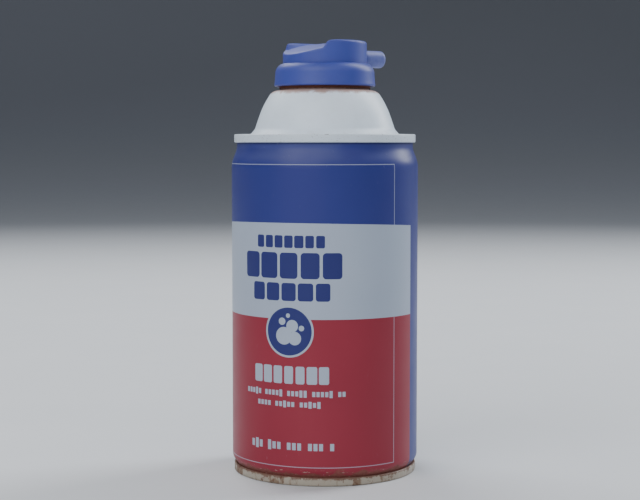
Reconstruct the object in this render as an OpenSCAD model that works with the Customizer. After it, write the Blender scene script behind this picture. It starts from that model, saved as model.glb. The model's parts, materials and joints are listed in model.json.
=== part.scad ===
// Pressurised can of shaving foam with a push-down spout.
// Millimetres, +Z up. The origin is the centre of the foot, on the surface the can stands on.
// The middle of the front label faces -Y.

/* [Can body] */
// Outside diameter of the printed body
body_d = 66; // [62:0.5:70]
// Thickness of the body sheet
body_t = 0.22; // [0.18:0.01:0.26]
// Height from the foot to the top of the upper double seam
seam_top_z = 119.4; // [110:0.1:135]
// Height over which the body narrows below the upper seam
neck_h = 8; // [7:0.5:10]
// Height over which the body narrows above the lower seam
foot_neck_h = 3.3; // [3:0.1:4]

/* [Ends and double seams] */
// Thickness of the sheet of both ends
end_t = 0.32; // [0.28:0.01:0.36]
// Outside diameter of the upper double seam
top_seam_d = 64.2; // [63.8:0.1:64.6]
// Outside diameter of the lower double seam
foot_seam_d = 64.8; // [64.2:0.1:65]
// Height of each double seam
seam_h = 2.9; // [2.9:0.1:3.3]
// Height of the dome's shoulder above the upper seam
dome_h = 15.4; // [15:0.1:16]
// Slope of the inward-domed base where it leaves the seam, in degrees
base_slope = 22; // [16:1:26]

/* [Valve] */
// Radius of the cup's curl, from the middle of the dome's curl
cup_curl_r = 1.88; // [1.84:0.01:1.92]
// Outside diameter of the valve stem
stem_d = 4; // [3.9:0.1:4]
// Wire thickness of the valve spring
wire_d = 0.5; // [0.4:0.05:0.6]
// Number of turns in the valve spring
spring_turns = 6; // [5:1:7]
// Sideways reach of the curved dip tube at its lower end
dip_reach = 20; // [10:1:22]

/* [Actuator] */
// Direction of the spout, turned about the can's axis from +X, in degrees
spout_angle = 57; // [0:1:359]
// Diameter of the button's drum
drum_d = 29.6; // [29:0.1:29.8]
// Height of the button's rim above the upper seam
button_h = 32.6; // [32:0.1:33.4]
// Distance from the axis to the tip of the spout
spout_reach = 25.2; // [22:0.1:28]
// Outside diameter of the spout
spout_d = 6.1; // [5.5:0.1:6.2]
// Diameter of the foam passage in the spout
spout_bore = 3; // [2.4:0.1:3.2]
// Travel of the button when it is pressed
press_travel = 1.2; // [0.8:0.1:1.2]
// Width of the finger dish, from side to side
dish_w = 24.4; // [22:0.1:25]
// Depth of the finger dish at its lip, below the rim
lip_drop = 4.8; // [3.5:0.1:5]

/* [Hidden] */
$fn = 96;

body_r = body_d / 2;
metal_gap = 0.03;
bend_r = 0.30;
hook_run = 1.5;
compound_t = 0.20;

// The mounting cup and all above it are set out from the middle of the dome's curl
curl_r = 14.1;
curl_z = seam_top_z + 17.8;
dome_curl = 1.25;
cup_t = 0.28;
wall_r = curl_r - cup_curl_r;
pedestal_r = 4.9;
pedestal_top = curl_z + 0.66;
floor_z = curl_z - 6.6;
crimp_z = curl_z - 1.2;
crimp_h = 2.8;

head_r = 4.6;
pedestal_bend = 0.86;
gasket_r = pedestal_r - pedestal_bend;
head_z = floor_z + 2.4;
gasket_z = pedestal_top - 0.14 - 1.08;
gasket_h = 1.06;
stem_head_r = 2.6;
stem_head_z = gasket_z - 2.42;
stem_top = curl_z + 6.3;
chamber_r = 2.9;
chamber_z = floor_z - 4.6;
tail_r = 1.95;
tail_top = chamber_z - 1.5;
tail_z = tail_top - 7;

drum_r = drum_d / 2;
guide_r = drum_r + 0.1;
rim_z = seam_top_z + button_h;
drum_z = rim_z - 10.1;
spout_z = rim_z - 5.6;
shell_t = 1.4;
web_z = curl_z + cup_curl_r + 0.2;
web_t = 1.15;
collar_z = curl_z - 0.9;
dish_end = 7;

// ---- Plane geometry -----------------------------------------------------------------------

function polar(c, r, a) = [c[0] + r * cos(a), c[1] + r * sin(a)];
function arc(c, r, a0, a1, n = 8) = [for (i = [0:n]) polar(c, r, a0 + (a1 - a0) * i / n)];
function ease(t) = (1 - cos(180 * t)) / 2;
function bump(t) = (1 - cos(360 * t)) / 2;
function unit(v) = v / norm(v);
function leftward(v) = [-v[1], v[0]];

// Direction of a path before and after point i
function before(p, i) = unit(p[max(i, 1)] - p[max(i, 1) - 1]);
function after(p, i) = unit(p[min(i, len(p) - 2) + 1] - p[min(i, len(p) - 2)]);
function heading(p, i) = unit(before(p, i) + after(p, i));

// Point i moved sideways by d, so that the sheet keeps its thickness round a bend
function shifted(p, i, d) = p[i] + leftward(heading(p, i)) * d / (heading(p, i) * before(p, i));

// A sheet that ends on the axis ends exactly on it
function on_axis(q) = abs(q[0]) < 0.1 ? [0, q[1]] : q;

// Outline of a sheet of thickness t along a centre line
function sheet(p, t) = concat(
    [for (i = [0:len(p) - 1]) on_axis(shifted(p, i, t / 2))],
    [for (i = [len(p) - 1:-1:0]) on_axis(shifted(p, i, -t / 2))]
);

module pressed(path, t) {
    rotate_extrude() polygon(sheet(path, t));
}

module ring(r_in, r_out, z0, z1) {
    translate([0, 0, z0]) difference() {
        cylinder(r = r_out, h = z1 - z0);
        translate([0, 0, -1]) cylinder(r = r_in, h = z1 - z0 + 2);
    }
}

// ---- Double seam ---------------------------------------------------------------------------
// Five layers from the outside in: seaming wall, body hook, cover hook, body wall, chuck wall.
// Radii are those of the middle of each sheet; heights run inward from the seam's free edge.

function seam_wall_r(seam_r) = seam_r - end_t / 2;
function body_hook_r(seam_r) = seam_r - end_t - metal_gap - body_t / 2;
function cover_hook_r(seam_r) = body_hook_r(seam_r) - body_t / 2 - metal_gap - end_t / 2;
function body_wall_r(seam_r) = cover_hook_r(seam_r) - end_t / 2 - metal_gap - body_t / 2;
function chuck_r(seam_r) = body_wall_r(seam_r) - body_t / 2 - metal_gap - end_t / 2;

// Depth of the top of the body's bend, from the seam's free edge
bend_depth = end_t + compound_t + 0.04;

// Body sheet through the seam: down the hook, over the bend, and along the wall to depth seam_h
function body_seam(seam_r) = concat(
    [[body_hook_r(seam_r), seam_h - bend_r - end_t / 2 - 0.12]],
    [for (q = arc(
        [(body_hook_r(seam_r) + body_wall_r(seam_r)) / 2, bend_depth + body_t / 2],
        (body_hook_r(seam_r) - body_wall_r(seam_r)) / 2, 0, 180, 8
    )) [q[0], 2 * (bend_depth + body_t / 2) - q[1] + (body_hook_r(seam_r) - body_wall_r(seam_r)) / 2]],
    [[body_wall_r(seam_r), seam_h]]
);

// End sheet through the seam: up the cover hook, round the lower bend, over the seam's free edge
function end_seam(seam_r) = concat(
    [[cover_hook_r(seam_r), seam_h - end_t / 2 - bend_r - hook_run]],
    arc(
        [(cover_hook_r(seam_r) + seam_wall_r(seam_r)) / 2, seam_h - end_t / 2 - bend_r],
        (seam_wall_r(seam_r) - cover_hook_r(seam_r)) / 2, 180, 0, 8
    ),
    arc([seam_wall_r(seam_r) - bend_r, end_t / 2 + bend_r], bend_r, 0, -90, 4),
    arc([chuck_r(seam_r) + bend_r, end_t / 2 + bend_r], bend_r, -90, -180, 4)
);

// Depths from the lower seam's free edge are heights; those from the upper one's hang from its top
function hanging(path) = [for (q = path) [q[0], seam_top_z - q[1]]];
function backwards(path) = [for (i = [len(path) - 1:-1:0]) path[i]];

// ---- Can body ------------------------------------------------------------------------------

top_wall_r = body_wall_r(top_seam_d / 2);
foot_wall_r = body_wall_r(foot_seam_d / 2);
sheet_r = body_r - body_t / 2;
neck_steps = 12;

function neck_path(r0, r1, z0, h, skew) = [
    for (i = [0:neck_steps]) [r0 + (r1 - r0) * ease(pow(i / neck_steps, skew)), z0 + h * i / neck_steps]
];

module can_body() {
    neck_z = seam_top_z - seam_h - 1.4 - neck_h;
    path = concat(
        body_seam(foot_seam_d / 2),
        neck_path(foot_wall_r, sheet_r, seam_h + 0.1, foot_neck_h, 0.6),
        neck_path(sheet_r, top_wall_r, neck_z, neck_h, 1.3),
        backwards(hanging(body_seam(top_seam_d / 2)))
    );
    color([0.16, 0.22, 0.46]) {
        pressed(path, body_t);
        side_weld(seam_h + foot_neck_h + 2, neck_z - 2);
    }
}

// The lapped edge of the welded side seam stands slightly proud on the inside, at the back
module side_weld(z0, z1) {
    lap_angle = 1.6;
    lap_t = 0.12;
    rotate([0, 0, 90 - lap_angle / 2]) translate([0, 0, z0]) rotate_extrude(angle = lap_angle)
        translate([body_r - body_t - lap_t, 0]) square([lap_t + 0.05, z1 - z0]);
}

// ---- Dome, base and sealing compound -------------------------------------------------------

module dome_top() {
    seam_r = top_seam_d / 2;
    // Slopes of the dome from the horizontal: above the countersink, on its cone, at its shoulder
    flank_a = 48;
    cone_a = 71;
    crown_a = 56;
    sink_r = 0.75;
    flare = [27.78, seam_top_z + 3.5];
    flare_r = 3.56;
    crown_r = 32;
    shoulder_r = 3.3;
    neck_bend = 0.6;
    neck_r = curl_r + dome_curl;
    shoulder = [neck_r + 1.25, seam_top_z + dome_h - end_t / 2 - shoulder_r];
    crown = polar(shoulder, shoulder_r - crown_r, 90 - crown_a);
    path = concat(
        hanging(end_seam(seam_r)),
        arc([chuck_r(seam_r) - sink_r, seam_top_z - 3.3], sink_r, 0, flank_a - 180 - 6, 8),
        arc(flare, flare_r, -90 - flank_a, -90 - cone_a, 6),
        arc(crown, crown_r, 90 - cone_a, 90 - crown_a, 8),
        arc(shoulder, shoulder_r, 98 - crown_a, 84, 6),
        arc([neck_r + neck_bend, shoulder[1] + shoulder_r + neck_bend], neck_bend, -90, -180, 5),
        arc([curl_r, curl_z], dome_curl, 0, 290, 24)
    );
    color([0.86, 0.88, 0.90]) pressed(path, end_t);
}

module base_end() {
    seam_r = foot_seam_d / 2;
    wall_bend = 1.2;
    bend_c = [chuck_r(seam_r) - wall_bend, 3.5];
    edge = polar(bend_c, wall_bend, 90 - base_slope);
    dome_r = edge[0] / sin(base_slope);
    dome_c = [0, edge[1] - dome_r * cos(base_slope)];
    path = concat(
        end_seam(seam_r),
        arc(bend_c, wall_bend, 0, 90 - base_slope, 6),
        [for (i = [1:12]) polar(dome_c, dome_r, 90 - base_slope * (1 - i / 12))]
    );
    color([0.86, 0.88, 0.90]) pressed(path, end_t);
}

module seam_ring(seam_r, z0) {
    ring(body_wall_r(seam_r) - 0.05, body_hook_r(seam_r) + 0.05, z0, z0 + compound_t);
}

module top_seam_compound() {
    color([0.25, 0.25, 0.27]) seam_ring(top_seam_d / 2, seam_top_z - end_t - compound_t - 0.02);
}

module bottom_seam_compound() {
    color([0.25, 0.25, 0.27]) seam_ring(foot_seam_d / 2, end_t + 0.02);
}

// ---- Valve ---------------------------------------------------------------------------------

module mounting_cup() {
    outer_r = curl_r + cup_curl_r;
    floor_bend = 1.2;
    crimp = [for (i = [0:14]) [wall_r + bump(i / 14), crimp_z - crimp_h * i / 14]];
    bead = [
        for (i = [0:8]) [pedestal_r - 0.45 * bump(i / 8), floor_z + floor_bend + 1.1 * i / 8]
    ];
    path = concat(
        [[outer_r, curl_z - 1.85]],
        arc([curl_r, curl_z], cup_curl_r, 0, 180, 20),
        crimp,
        arc([wall_r - floor_bend, floor_z + floor_bend], floor_bend, 0, -90, 6),
        arc([pedestal_r + floor_bend, floor_z + floor_bend], floor_bend, -90, -180, 6),
        [for (i = [1:8]) bead[i]],
        arc([gasket_r, pedestal_top - pedestal_bend], pedestal_bend, 0, 90, 6),
        [[stem_d / 2 + 0.45, pedestal_top]]
    );
    color([0.72, 0.70, 0.66]) pressed(path, cup_t);
}

module cup_gasket() {
    sleeve_r = (dome_curl + end_t / 2 + cup_curl_r - cup_t / 2) / 2;
    path = concat(
        [[curl_r + sleeve_r, curl_z - 1.5]],
        arc([curl_r, curl_z], sleeve_r, 0, 195, 20)
    );
    color([0.30, 0.30, 0.32]) pressed(path, 0.24);
}

module stem_gasket() {
    color([0.20, 0.20, 0.21]) ring(stem_d / 2 + 0.03, gasket_r, gasket_z, gasket_z + gasket_h);
}

module valve_stem() {
    stem_r = stem_d / 2;
    pin_r = 1.15;
    color([0.92, 0.92, 0.90]) difference() {
        rotate_extrude() polygon([
            [0, stem_head_z - 2.7], [pin_r - 0.3, stem_head_z - 2.7],
            [pin_r, stem_head_z - 2.4], [pin_r, stem_head_z],
            [stem_head_r, stem_head_z], [stem_head_r, gasket_z - 0.05],
            [stem_r, gasket_z - 0.05], [stem_r, stem_top - 0.4],
            [stem_r - 0.3, stem_top], [0, stem_top]
        ]);
        translate([0, 0, gasket_z + 0.3]) cylinder(r = 0.9, h = stem_top);
        for (a = [0, 90])
            rotate([0, 0, a]) translate([0, 0, gasket_z + 0.55]) rotate([0, 90, 0])
                cylinder(r = 0.3, h = 2 * stem_d, center = true);
    }
}

// Round wire bent into a compression spring whose end turns lie closer together
module valve_spring() {
    coil_r = 2.15;
    wire_sides = 8;
    steps_a_turn = 16;
    low = chamber_z + wire_d / 2 + 0.03;
    rise = stem_head_z - wire_d / 2 - 0.03 - low;
    last = spring_turns * steps_a_turn;
    rings = [
        for (i = [0:last])
            let (t = i / last, a = 360 * i / steps_a_turn)
            let (z = low + rise * (t - 0.5 * sin(360 * t) / (2 * PI)))
            [for (k = [0:wire_sides - 1]) let (b = 360 * k / wire_sides) [
                (coil_r + wire_d / 2 * cos(b)) * cos(a),
                (coil_r + wire_d / 2 * cos(b)) * sin(a),
                z + wire_d / 2 * sin(b)
            ]]
    ];
    color([0.75, 0.76, 0.78]) tube_skin(rings, wire_sides);
}

// Closed skin through equal rings of points
module tube_skin(rings, n) {
    last = len(rings) - 1;
    points = [for (r = rings) each r];
    sides = [
        for (i = [0:last - 1], k = [0:n - 1])
            [i * n + k, i * n + (k + 1) % n, (i + 1) * n + (k + 1) % n, (i + 1) * n + k]
    ];
    start_cap = [for (k = [n - 1:-1:0]) k];
    end_cap = [for (k = [0:n - 1]) last * n + k];
    polyhedron(points, concat([start_cap], sides, [end_cap]));
}

module valve_housing() {
    color([0.94, 0.93, 0.90]) rotate_extrude() polygon([
        [0.9, tail_z], [tail_r - 0.35, tail_z], [tail_r, tail_z + 1.2],
        [tail_r, tail_top - 0.8], [2.6, tail_top], [4.1, tail_top + 1.8],
        [4.1, head_z], [head_r, head_z], [head_r, gasket_z - 0.02],
        [chamber_r, gasket_z - 0.02], [chamber_r, chamber_z], [0.9, chamber_z]
    ]);
}

// Plastic tube pushed over the housing's tail, bowed towards the wall at its lower end
module dip_tube() {
    tube_top = tail_top - 1;
    drop = tube_top - 12;
    bow_r = (drop * drop + dip_reach * dip_reach) / (2 * dip_reach);
    bow_angle = asin(drop / bow_r);
    color([0.90, 0.92, 0.92]) rotate([0, 0, 200])
        translate([bow_r, 0, tube_top]) rotate([-90, 0, 0]) rotate([0, 0, 180 - bow_angle])
            rotate_extrude(angle = bow_angle) translate([bow_r, 0]) difference() {
                circle(r = 2.6);
                circle(r = tail_r + 0.14);
            }
}

// ---- Actuator ------------------------------------------------------------------------------

// Ring that snaps inside the mounting cup, turns in it, and guides the button
module actuator_collar() {
    skirt_in = curl_r + cup_curl_r + cup_t / 2 + 0.33;
    snap_out = wall_r - cup_t / 2 - 0.08;
    snap_in = snap_out - 1.1;
    snap_low = crimp_z - 2.1;
    shoulder = [13.8, seam_top_z + 21.3];
    shoulder_r = 3.6;
    outline = concat(
        [[skirt_in, collar_z], [17.5, collar_z], [17.75, collar_z + 0.25], [17.6, collar_z + 1.5]],
        [[17.5, collar_z + 2.8]],
        arc(shoulder, shoulder_r, 0, 69, 9),
        [[guide_r, shoulder[1] + 3.2], [guide_r, web_z + web_t], [snap_in, web_z + web_t]],
        [[snap_in, snap_low], [snap_out - 0.1, snap_low], [snap_out + 0.5, snap_low + 0.7]],
        [[snap_out + 0.5, snap_low + 0.95], [snap_out, snap_low + 1.7], [snap_out, web_z]],
        [[skirt_in, web_z]]
    );
    color([0.24, 0.33, 0.62]) difference() {
        rotate_extrude() polygon(outline);
        for (a = [0:60:300]) rotate([0, 0, spout_angle + a]) snap_slot(snap_low);
        rotate([0, 0, spout_angle]) spout_notch();
    }
}

// Slots let the snap ring flex inward as it passes the cup's rim
module snap_slot(low) {
    slot_w = 2;
    slot_h = web_z - low - 0.5;
    translate([wall_r - 3, -slot_w / 2, low - 1]) cube([5, slot_w, slot_h + 1]);
}

// The spout passes through the shoulder and moves down in this notch
module spout_notch() {
    notch_r = spout_d / 2 + 0.35;
    translate([guide_r - 2, 0, spout_z - press_travel]) {
        rotate([0, 90, 0]) cylinder(r = notch_r, h = 6);
        translate([0, -notch_r, 0]) cube([6, 2 * notch_r, 6]);
    }
}

// Height of the finger dish along the spout's line: it falls in one curve towards its lip
function dish_z(u) = rim_z - lip_drop * pow((dish_end - u) / (dish_end + drum_r), 1.7);

module dish_prism(under, width, top) {
    us = [for (i = [0:16]) -drum_r - 1 + (dish_end + drum_r + 1) * i / 16];
    rotate([90, 0, 0]) linear_extrude(width, center = true) polygon(concat(
        [for (u = us) [u, dish_z(u) - under]],
        [[dish_end, top], [-drum_r - 1, top]]
    ));
}

module spout_button() {
    color([0.26, 0.35, 0.65]) rotate([0, 0, spout_angle]) difference() {
        union() {
            difference() {
                drum();
                dish_prism(0, dish_w, rim_z + 1);
                hollow();
            }
            socket_boss();
            spout();
        }
        translate([0, 0, drum_z - 5]) cylinder(r = stem_d / 2 + 0.02, h = stem_top + 0.02 - drum_z + 5);
        translate([0, 0, stem_top]) cylinder(r = 1.3, h = spout_z - stem_top);
        translate([0, 0, spout_z]) rotate([0, 90, 0]) cylinder(d = spout_bore, h = spout_reach + 1);
        translate([0, 0, spout_z]) sphere(d = spout_bore);
    }
}

module drum() {
    edge_r = 0.9;
    rotate_extrude() polygon(concat(
        [[0, drum_z], [drum_r, drum_z]],
        arc([drum_r - edge_r, rim_z - edge_r], edge_r, 0, 90, 6),
        [[0, rim_z]]
    ));
}

// The drum is a shell: its ceiling follows the finger dish from below
module hollow() {
    intersection() {
        translate([0, 0, drum_z - 1]) cylinder(r = drum_r - shell_t, h = rim_z - shell_t - drum_z + 1);
        union() {
            rotate([90, 0, 0]) linear_extrude(2 * drum_r, center = true) polygon(concat(
                [for (i = [0:16]) let (u = -drum_r + (dish_end + drum_r) * i / 16) [u, dish_z(u) - shell_t]],
                [[dish_end, drum_z - 2], [-drum_r, drum_z - 2]]
            ));
            translate([dish_end, -drum_r, drum_z - 2]) cube([drum_r, 2 * drum_r, rim_z]);
        }
    }
}

module socket_boss() {
    boss_r = 3.6;
    boss_z = pedestal_top + 0.14 + press_travel + 0.3;
    translate([0, 0, boss_z]) cylinder(r = boss_r, h = dish_z(-boss_r) - shell_t / 2 - boss_z);
}

module spout() {
    tip_r = 1.1;
    translate([0, 0, spout_z]) rotate([0, 90, 0]) rotate_extrude() polygon(concat(
        [[0, 0], [spout_d / 2, 0]],
        arc([spout_d / 2 - tip_r, spout_reach - tip_r], tip_r, 0, 90, 6),
        [[0, spout_reach]]
    ));
}

can_body();
dome_top();
base_end();
top_seam_compound();
bottom_seam_compound();
mounting_cup();
cup_gasket();
stem_gasket();
valve_stem();
valve_spring();
valve_housing();
dip_tube();
actuator_collar();
spout_button();
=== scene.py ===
import json
import math

import bmesh
import bpy
import numpy as np
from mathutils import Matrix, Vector


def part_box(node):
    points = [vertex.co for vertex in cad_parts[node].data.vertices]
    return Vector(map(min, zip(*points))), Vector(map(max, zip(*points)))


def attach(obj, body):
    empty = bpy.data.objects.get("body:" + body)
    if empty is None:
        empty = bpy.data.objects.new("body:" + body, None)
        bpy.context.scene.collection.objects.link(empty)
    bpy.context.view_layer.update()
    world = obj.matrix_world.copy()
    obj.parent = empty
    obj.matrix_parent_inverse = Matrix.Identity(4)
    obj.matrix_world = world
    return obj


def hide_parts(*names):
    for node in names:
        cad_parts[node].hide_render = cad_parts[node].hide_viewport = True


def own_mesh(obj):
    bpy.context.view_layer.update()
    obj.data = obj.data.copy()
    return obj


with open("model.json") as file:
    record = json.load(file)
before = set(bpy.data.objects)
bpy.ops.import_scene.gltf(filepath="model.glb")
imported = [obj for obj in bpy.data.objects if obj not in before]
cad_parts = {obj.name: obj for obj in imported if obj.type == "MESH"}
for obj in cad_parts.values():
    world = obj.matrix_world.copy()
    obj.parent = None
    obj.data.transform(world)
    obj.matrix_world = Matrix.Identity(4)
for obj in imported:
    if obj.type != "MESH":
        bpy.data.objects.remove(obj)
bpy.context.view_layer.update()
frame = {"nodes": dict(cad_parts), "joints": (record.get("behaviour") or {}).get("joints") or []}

# A pressurised can of shaving foam. Metres, in the CAD's frame; shader and outline numbers are in mm.
# The middle of the front label faces -Y.

MM = 0.001


def mm(length):
    """A length of the frame, in millimetres."""
    return length / MM


# ---- Sizes, from the frame ---------------------------------------------------------------------

BODY_R = mm(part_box("can_body")[1].x)
TOP_SEAM_R = mm(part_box("dome_top")[1].x)
FOOT_SEAM_R = mm(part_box("base_end")[1].x)
CUP_R = mm(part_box("mounting_cup")[1].x)
BUTTON_LOW = mm(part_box("spout_button")[0].z)
RIM_Z = mm(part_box("spout_button")[1].z)
SPRING_LOW = mm(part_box("valve_spring")[0].z)
SPRING_TOP = mm(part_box("valve_spring")[1].z)
SPRING_R = mm(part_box("valve_spring")[1].x)
STEM_TOP = mm(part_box("valve_stem")[1].z)
PRESS = next(j for j in frame["joints"] if j["name"] == "button_press")["range_m"][1] / MM

# Sizes that the can shares with its CAD source
SHEET_T = 0.22
END_T = 0.32
SEAM_H = 2.9
BEND = 0.30
BEND_DEPTH = END_T + 0.24
SEAM_TOP = mm(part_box("can_body")[1].z) + BEND_DEPTH
CURL_R = 14.1
CURL_Z = SEAM_TOP + 17.8
CUP_CURL_R = 1.88
SPOUT_TURN = math.radians(57)


# ---- Outlines ----------------------------------------------------------------------------------

def arc(centre, r, start, stop, n=12):
    """Points (radius, height) on an arc, by angles in degrees."""
    turns = np.radians(np.linspace(start, stop, n + 1))
    return [(centre[0] + r * math.cos(a), centre[1] + r * math.sin(a)) for a in turns]


def ease(t):
    """0 to 1, starting and ending gently."""
    return (1 - math.cos(math.pi * t)) / 2


def softened(path, passes=2):
    """Cuts the corners of an open path, keeping its two ends."""
    points = np.array(path, float)
    for _ in range(passes):
        a, b = points[:-1], points[1:]
        cut = np.stack([0.75 * a + 0.25 * b, 0.25 * a + 0.75 * b], 1).reshape(-1, 2)
        points = np.vstack([points[:1], cut[1:-1], points[-1:]])
    return points


def sheet_outline(path, t):
    """Closed outline of a sheet of thickness t along a path of (radius, height)."""
    points = np.array(path, float)
    along = np.diff(points, axis=0)
    along /= np.linalg.norm(along, axis=1)[:, None]
    before = np.vstack([along[:1], along])
    after = np.vstack([along, along[-1:]])
    heading = before + after
    heading /= np.linalg.norm(heading, axis=1)[:, None]
    stretch = np.maximum((heading * before).sum(1), 0.5)
    side = np.stack([-heading[:, 1], heading[:, 0]], 1) * (t / 2 / stretch)[:, None]
    outline = np.vstack([points + side, (points - side)[::-1]])
    outline[np.abs(outline[:, 0]) < 0.1, 0] = 0
    return outline


# ---- Meshes ------------------------------------------------------------------------------------

def new_piece(name, points, faces, material, body, sharp=40):
    """A closed piece from points in mm, riding on a CAD body."""
    mesh = bpy.data.meshes.new(name)
    mesh.from_pydata((np.array(points) * MM).tolist(), [], [list(map(int, f)) for f in faces])
    mesh.validate()
    if signed_volume(mesh) < 0:
        mesh.flip_normals()
    mesh.polygons.foreach_set("use_smooth", [True] * len(mesh.polygons))
    mesh.set_sharp_from_angle(angle=math.radians(sharp))
    mesh.materials.append(material)
    piece = bpy.data.objects.new(name, mesh)
    bpy.context.scene.collection.objects.link(piece)
    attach(piece, body)
    return piece


def signed_volume(mesh):
    """Negative where the faces look inwards."""
    solid = bmesh.new()
    solid.from_mesh(mesh)
    volume = solid.calc_volume(signed=True)
    solid.free()
    return volume


def turned(outline, segments=256, wobble=None):
    """Points and faces of an outline turned round the Z axis. wobble(r, z, turn) moves the points."""
    outline = np.array(outline, float)
    count = len(outline)
    turn = np.broadcast_to(2 * math.pi * np.arange(segments) / segments, (count, segments))
    r, z = (np.repeat(column[:, None], segments, 1) for column in outline.T)
    if wobble:
        dr, dz = wobble(r, z, turn)
        r, z = r + dr, z + dz
    points = np.stack([r * np.cos(turn), r * np.sin(turn), z], 2).reshape(-1, 3)
    index = np.arange(count * segments).reshape(count, segments)
    on_axis = outline[:, 0] == 0
    index[on_axis] = index[on_axis, :1]
    faces = []
    for i in range(count):
        j = (i + 1) % count
        if on_axis[i] and on_axis[j]:
            continue
        ring = [index[i], index[j], np.roll(index[j], -1), np.roll(index[i], -1)]
        if on_axis[j]:
            del ring[2]
        elif on_axis[i]:
            del ring[3]
        faces += np.stack(ring, 1).tolist()
    return points, faces


def ripple(turn, z, waves, seed, steep=0.0):
    """Smooth unevenness between about -1 and 1, round the can and along it."""
    chance = np.random.default_rng(seed)
    total = 0
    count = 12
    for _ in range(count):
        along = chance.integers(*waves) * turn + steep * chance.normal() * z
        total = total + np.cos(along + chance.uniform(0, 2 * math.pi))
    return total / math.sqrt(count)


CORNERS = [(i, j, k) for i in (0, 1) for j in (0, 1) for k in (0, 1)]
EDGES = [(a, b) for a in CORNERS for b in CORNERS if a < b and sum(np.abs(np.subtract(a, b))) == 1]


def solid_from(distance, low, high, cell):
    """Points and faces of the surface where distance(x, y, z) is zero, settled onto it."""
    axes = [np.arange(l - cell, h + 2 * cell, cell) for l, h in zip(low, high)]
    grid = np.meshgrid(*axes, indexing="ij")
    field = distance(*grid)
    size = np.array(field.shape) - 1
    at = {c: tuple(slice(c[d], c[d] + size[d]) for d in range(3)) for c in CORNERS}
    inside = sum((field[at[c]] < 0).astype(int) for c in CORNERS)
    mixed = (inside > 0) & (inside < 8)
    total = np.zeros((*size, 3))
    crossings = np.zeros(size)
    for a, b in EDGES:
        fa, fb = field[at[a]], field[at[b]]
        crossed = (fa < 0) != (fb < 0)
        share = np.where(crossed, fa / np.where(crossed, fa - fb, 1), 0)
        for d in range(3):
            total[..., d] += np.where(crossed, a[d] + share * (b[d] - a[d]), 0)
        crossings += crossed
    cells = np.argwhere(mixed)
    points = total[mixed] / crossings[mixed][:, None] + cells
    points = points * cell + np.array([a[0] for a in axes])
    number = -np.ones(size, int)
    number[mixed] = np.arange(len(cells))
    faces = []
    for d in range(3):
        u, v = (d + 1) % 3, (d + 2) % 3
        start = [slice(1, size[i]) for i in range(3)]
        start[d] = slice(0, size[d])
        end = list(start)
        end[d] = slice(1, size[d] + 1)
        f0, f1 = field[tuple(start)] < 0, field[tuple(end)] < 0
        for way, flip in ((f0 & ~f1, False), (~f0 & f1, True)):
            base = np.argwhere(way) + np.array([0 if i == d else 1 for i in range(3)])
            ring = []
            for du, dv in ((-1, -1), (0, -1), (0, 0), (-1, 0)):
                c = base.copy()
                c[:, u] += du
                c[:, v] += dv
                ring.append(number[tuple(c.T)])
            quads = np.stack(ring[::-1] if flip else ring, 1)
            faces.append(quads)
    faces = np.vstack(faces)
    return settled(points, distance, cell), faces


def settled(points, distance, cell):
    """Moves points onto the surface along its slope, a little at a time."""
    h = cell * 0.1
    for _ in range(3):
        x, y, z = points.T
        d = distance(x, y, z)
        slope = np.stack([
            distance(x + h, y, z) - distance(x - h, y, z),
            distance(x, y + h, z) - distance(x, y - h, z),
            distance(x, y, z + h) - distance(x, y, z - h),
        ], 1) / (2 * h)
        steepness = np.maximum((slope ** 2).sum(1), 0.25)
        step = np.clip(d / steepness, -cell / 2, cell / 2)
        points = points - slope * step[:, None]
    return points


def join_soft(a, b, k):
    """Union of two distances with a fillet of about k."""
    h = np.maximum(k - np.abs(a - b), 0) / k
    return np.minimum(a, b) - h * h * k / 4


def cut_soft(a, b, k):
    """Solid a without solid b, its edges rounded by about k."""
    return -join_soft(-a, b, k)


def outline_distance(x, z, outline):
    """Signed distance in a plane to a closed outline, negative inside."""
    points = np.array(outline, float)
    nearest = np.full(x.shape, 1e9)
    inside = np.zeros(x.shape, bool)
    for (ax, az), (bx, bz) in zip(points, np.roll(points, -1, 0)):
        ex, ez = bx - ax, bz - az
        t = np.clip(((x - ax) * ex + (z - az) * ez) / (ex * ex + ez * ez), 0, 1)
        nearest = np.minimum(nearest, np.hypot(x - ax - t * ex, z - az - t * ez))
        if ez:
            crosses = (az > z) != (bz > z)
            inside ^= crosses & (x < ax + (z - az) * ex / ez)
    return np.where(inside, -nearest, nearest)


# ---- Camera, floor and light -------------------------------------------------------------------

def make_camera():
    """The photograph's view: a long lens a little above the middle, 21.8 degrees round to the right."""
    turn = math.radians(21.8)
    distance = 0.5444
    height = 0.1163
    pitch = math.radians(3.996)
    aside = math.radians(0.18)
    data = bpy.data.cameras.new("camera")
    data.lens = 86.1
    data.sensor_width = 36
    camera = bpy.data.objects.new("camera", data)
    bpy.context.scene.collection.objects.link(camera)
    camera.location = (distance * math.sin(turn), -distance * math.cos(turn), height)
    camera.rotation_euler = (math.pi / 2 - pitch, 0, turn + aside)
    bpy.context.scene.camera = camera


def area_light(name, place, target, size, power, tint):
    """A rectangular lamp that faces target, in metres and watts."""
    data = bpy.data.lights.new(name, "AREA")
    data.shape = "RECTANGLE"
    data.size, data.size_y = size
    data.energy = power
    data.color = tint
    light = bpy.data.objects.new(name, data)
    bpy.context.scene.collection.objects.link(light)
    light.location = place
    light.rotation_euler = (Vector(target) - Vector(place)).to_track_quat("-Z", "Y").to_euler()


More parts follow.
